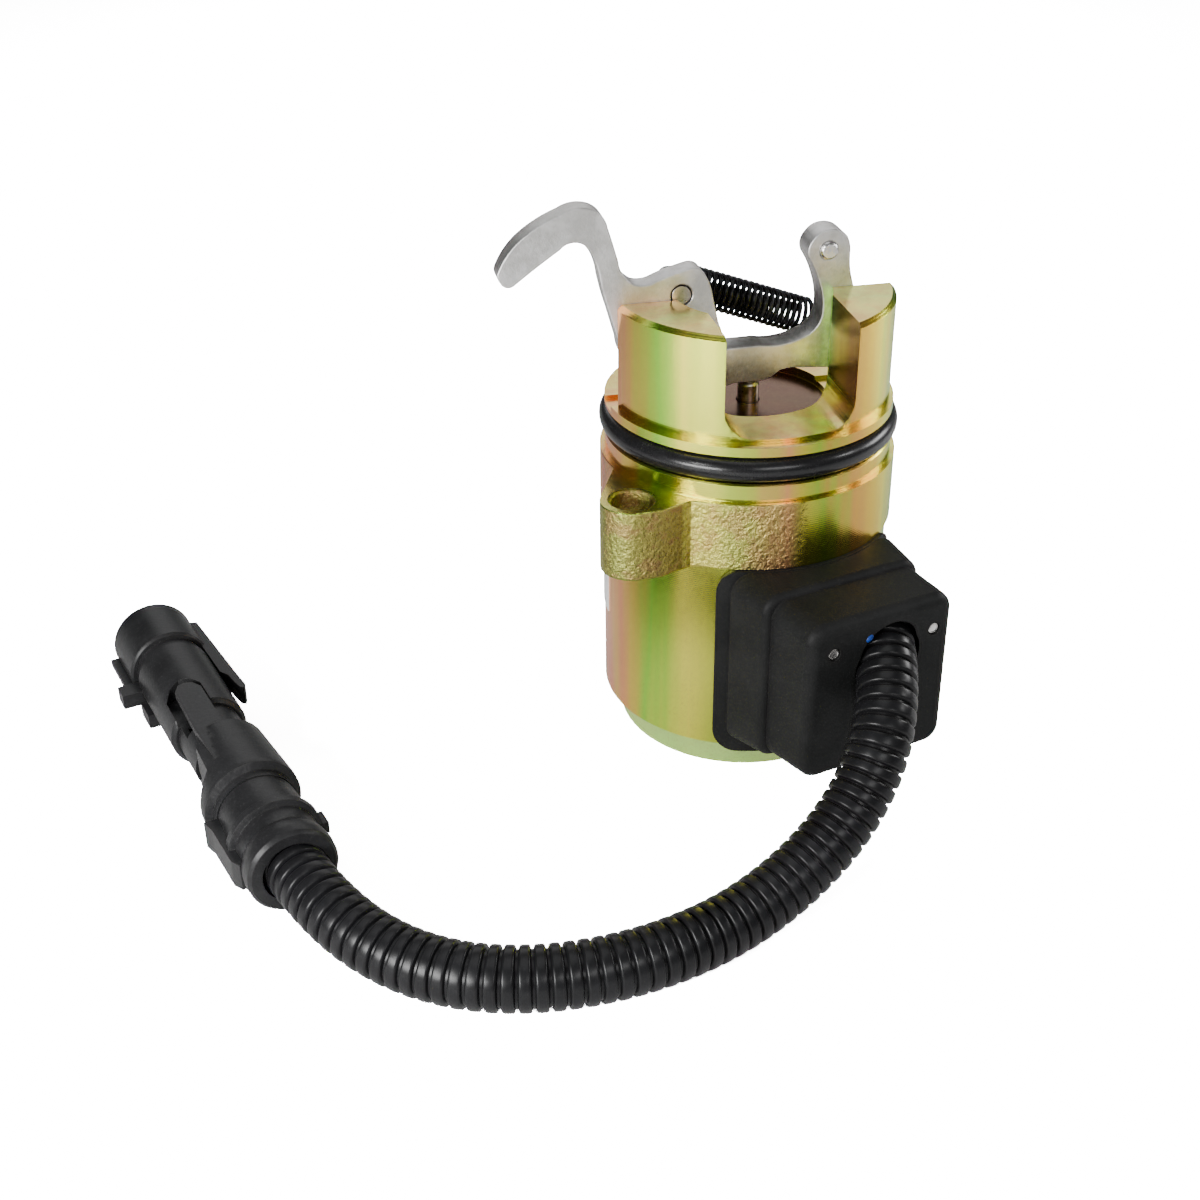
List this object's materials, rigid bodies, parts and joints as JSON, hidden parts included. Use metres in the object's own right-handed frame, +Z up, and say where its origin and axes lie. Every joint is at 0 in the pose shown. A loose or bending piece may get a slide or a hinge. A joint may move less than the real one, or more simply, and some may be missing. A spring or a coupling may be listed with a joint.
{
  "type": "fuel shutoff solenoid",
  "caption": "Cylindrical fuel shutoff solenoid with a spring-loaded hook lever, a rocker, a mounting ear, a side cover and a corrugated lead ending in a round connector.",
  "frame": {"origin": "middle of the base plate's lower face, which stands on the floor", "axes": "+Z up the solenoid's axis towards the levers, +X along the levers' plane from the hook towards the rocker's stud, +Y to the back, away from the slot between the towers"},
  "size_m": [0.1319, 0.1057, 0.0912],
  "materials": {
    "head_metal": "yellow zinc plated, satin",
    "can_metal": "yellow zinc plated, smooth",
    "lever_steel": "satin, bare",
    "pin_steel": "turned, bare",
    "spring_steel": "black phosphate",
    "bright_steel": "bright",
    "core_iron": "turned soft iron",
    "bearing_metal": "turned",
    "copper_wire": "enamelled copper",
    "bobbin_plastic": "natural, moulded",
    "seal_rubber": "satin black",
    "cover_plastic": "matt black, moulded",
    "conduit_plastic": "glossy black, corrugated",
    "connector_plastic": "semi-matt black",
    "terminal_metal": "tinned",
    "wire_blue": "insulation",
    "wire_red": "insulation",
    "label_film": "white film, blank"
  },
  "bodies": {
    "housing_unit": {"head": "head_metal", "can": "can_metal", "base_plate": "can_metal", "rocker_pivot_pin": "pin_steel", "hook_pivot_pin": "pin_steel", "tension_spring": "spring_steel", "pivot_clips": "spring_steel", "return_spring": "bright_steel", "cover_rivets": "bright_steel", "fixed_core": "core_iron", "guide_bush": "bearing_metal", "guide_tube": "bearing_metal", "winding": "copper_wire", "bobbin": "bobbin_plastic", "seal_ring": "seal_rubber", "wire_seal": "seal_rubber", "cover": "cover_plastic", "conduit": "conduit_plastic", "connector_housing": "connector_plastic", "connector_boot": "connector_plastic", "connector_sleeve": "connector_plastic", "terminal_carrier": "connector_plastic", "connector_terminals": "terminal_metal", "lead_wire_blue": "wire_blue", "lead_wire_red": "wire_red", "blank_label": "label_film"},
    "plunger_unit": {"plunger": "core_iron", "push_pin": "pin_steel"},
    "rocker_unit": {"rocker_lever": "lever_steel", "rocker_stud": "pin_steel"},
    "hook_unit": {"hook_lever": "lever_steel", "hook_spring_pin": "pin_steel"}
  },
  "joints": [
    {"name": "plunger_slide", "type": "slide", "parent": "housing_unit", "child": "plunger_unit", "axis": [0, 0, 1], "range_m": [0, 0.0024], "stiffness_N_per_m": 300, "springref_m": -0.004, "deforming": ["return_spring"]},
    {"name": "rocker_pivot", "type": "hinge", "parent": "housing_unit", "child": "rocker_unit", "pos_m": [0.0152, 0, 0.0666], "axis": [0, 1, 0], "range_deg": [0, 9.4]},
    {"name": "hook_pivot", "type": "hinge", "parent": "housing_unit", "child": "hook_unit", "pos_m": [-0.016, 0, 0.0695], "axis": [0, 1, 0], "range_deg": [-23, 0], "deforming": ["tension_spring"]}
  ],
  "couplings": [
    {"joint": "rocker_pivot", "follows": "plunger_slide", "rad_per_m": 68},
    {"joint": "hook_pivot", "follows": "plunger_slide", "rad_per_m": -167}
  ]
}
